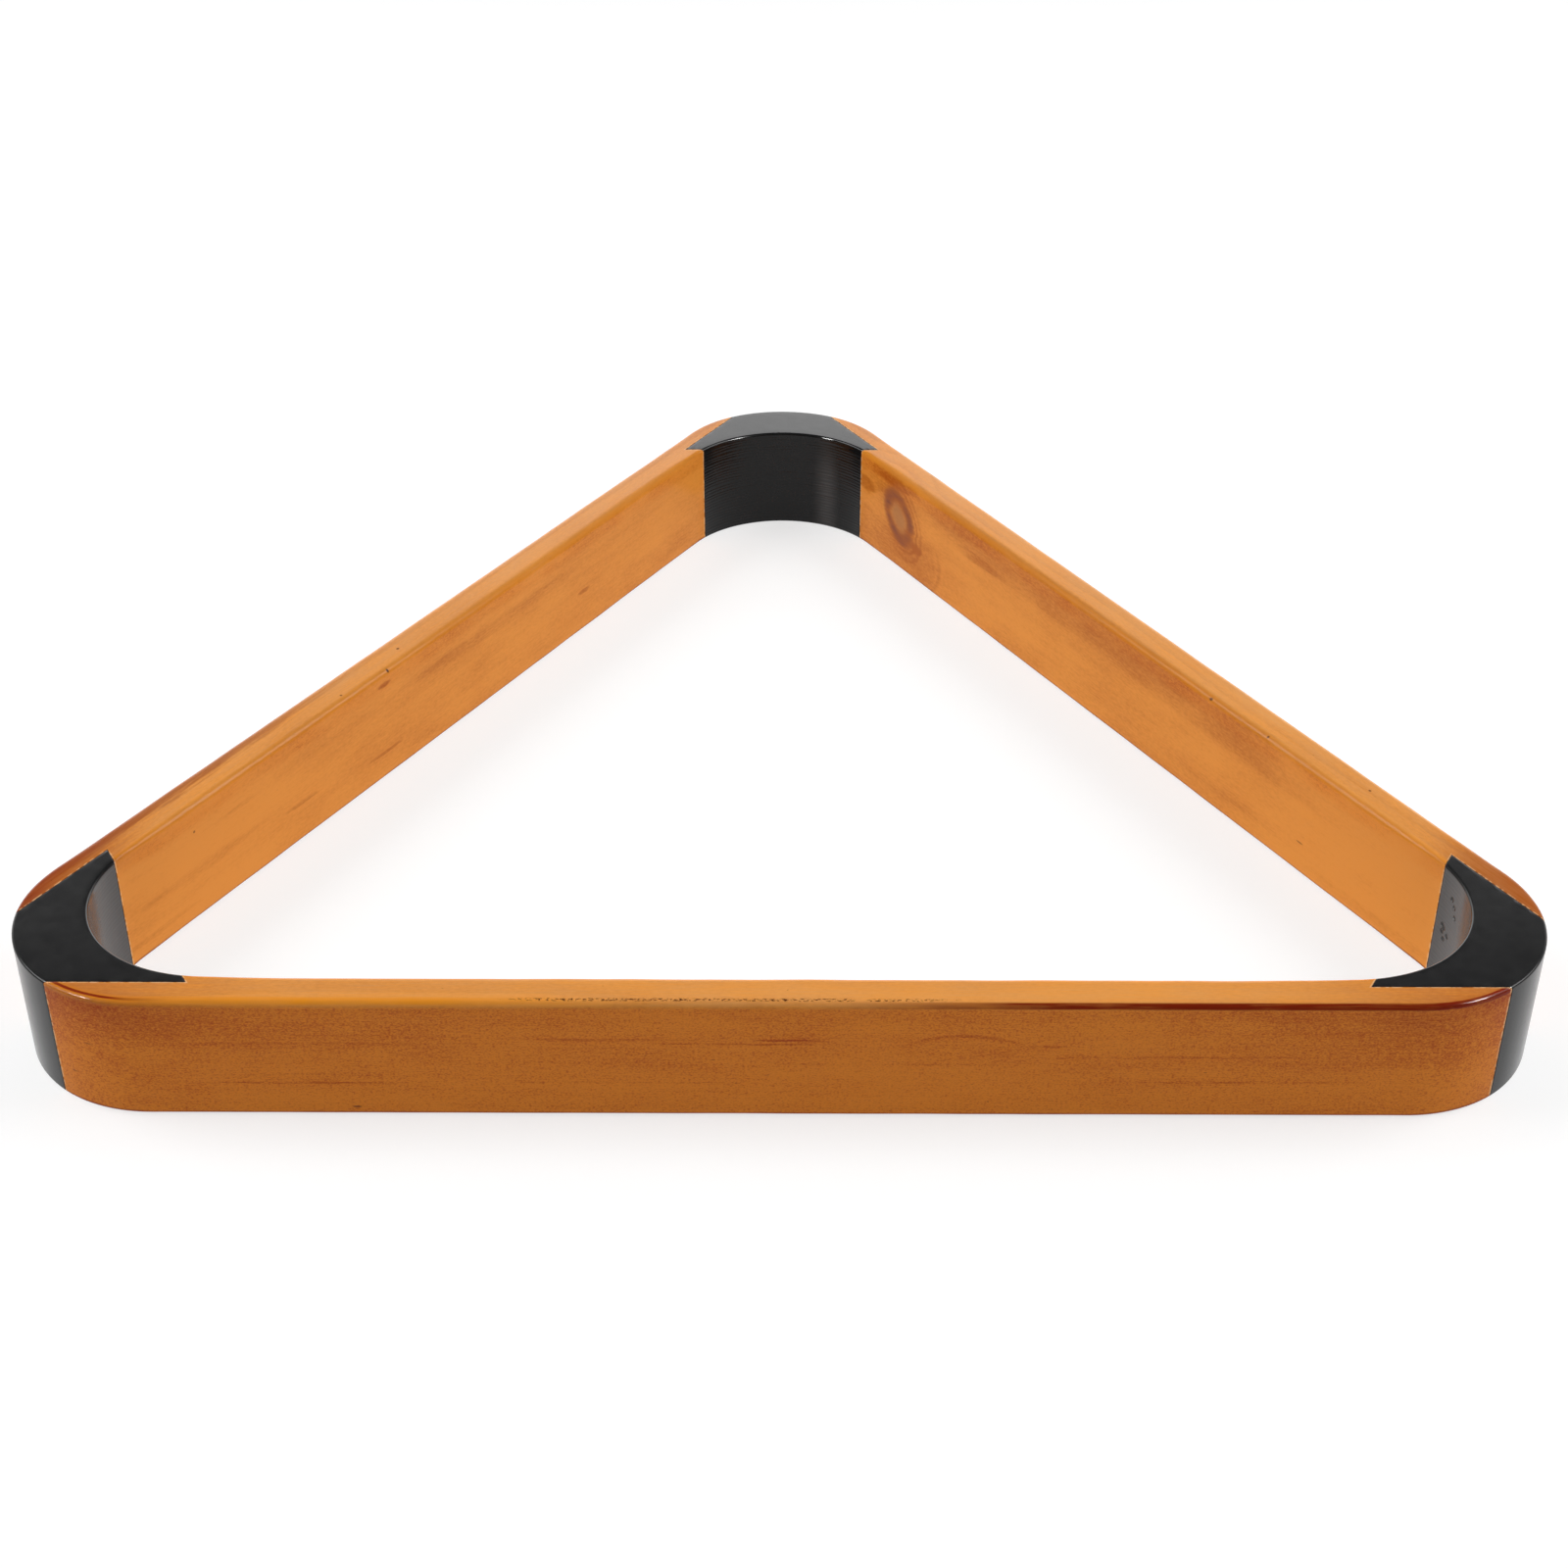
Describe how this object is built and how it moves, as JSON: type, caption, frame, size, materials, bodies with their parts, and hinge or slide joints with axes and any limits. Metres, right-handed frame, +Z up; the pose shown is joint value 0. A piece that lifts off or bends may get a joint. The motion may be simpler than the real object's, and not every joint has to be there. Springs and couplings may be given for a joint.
{
  "type": "triangle rack",
  "caption": "Wooden triangle frame on edge, with black corner blocks let into the rails and round corner pockets, for setting up pool balls on a table.",
  "frame": {"origin": "on the table plane, under the middle of the rack's bounding box; the middle of the triangle itself is 36.8 mm from it towards -Y", "axes": "+X along the front rail, from the front left corner block to the front right one; +Y from the front rail to the apex; +Z up from the table"},
  "size_m": [0.3184, 0.2842, 0.0286],
  "materials": {
    "rail_wood": "stained light orange-brown pine under satin lacquer",
    "corner_block_black": "satin black, machined, with fine bored rings in the pockets"
  },
  "bodies": {
    "root": {"rail_front": "rail_wood", "rail_left": "rail_wood", "rail_right": "rail_wood", "corner_block_front_left": "corner_block_black", "corner_block_front_right": "corner_block_black", "corner_block_apex": "corner_block_black"}
  },
  "joints": []
}
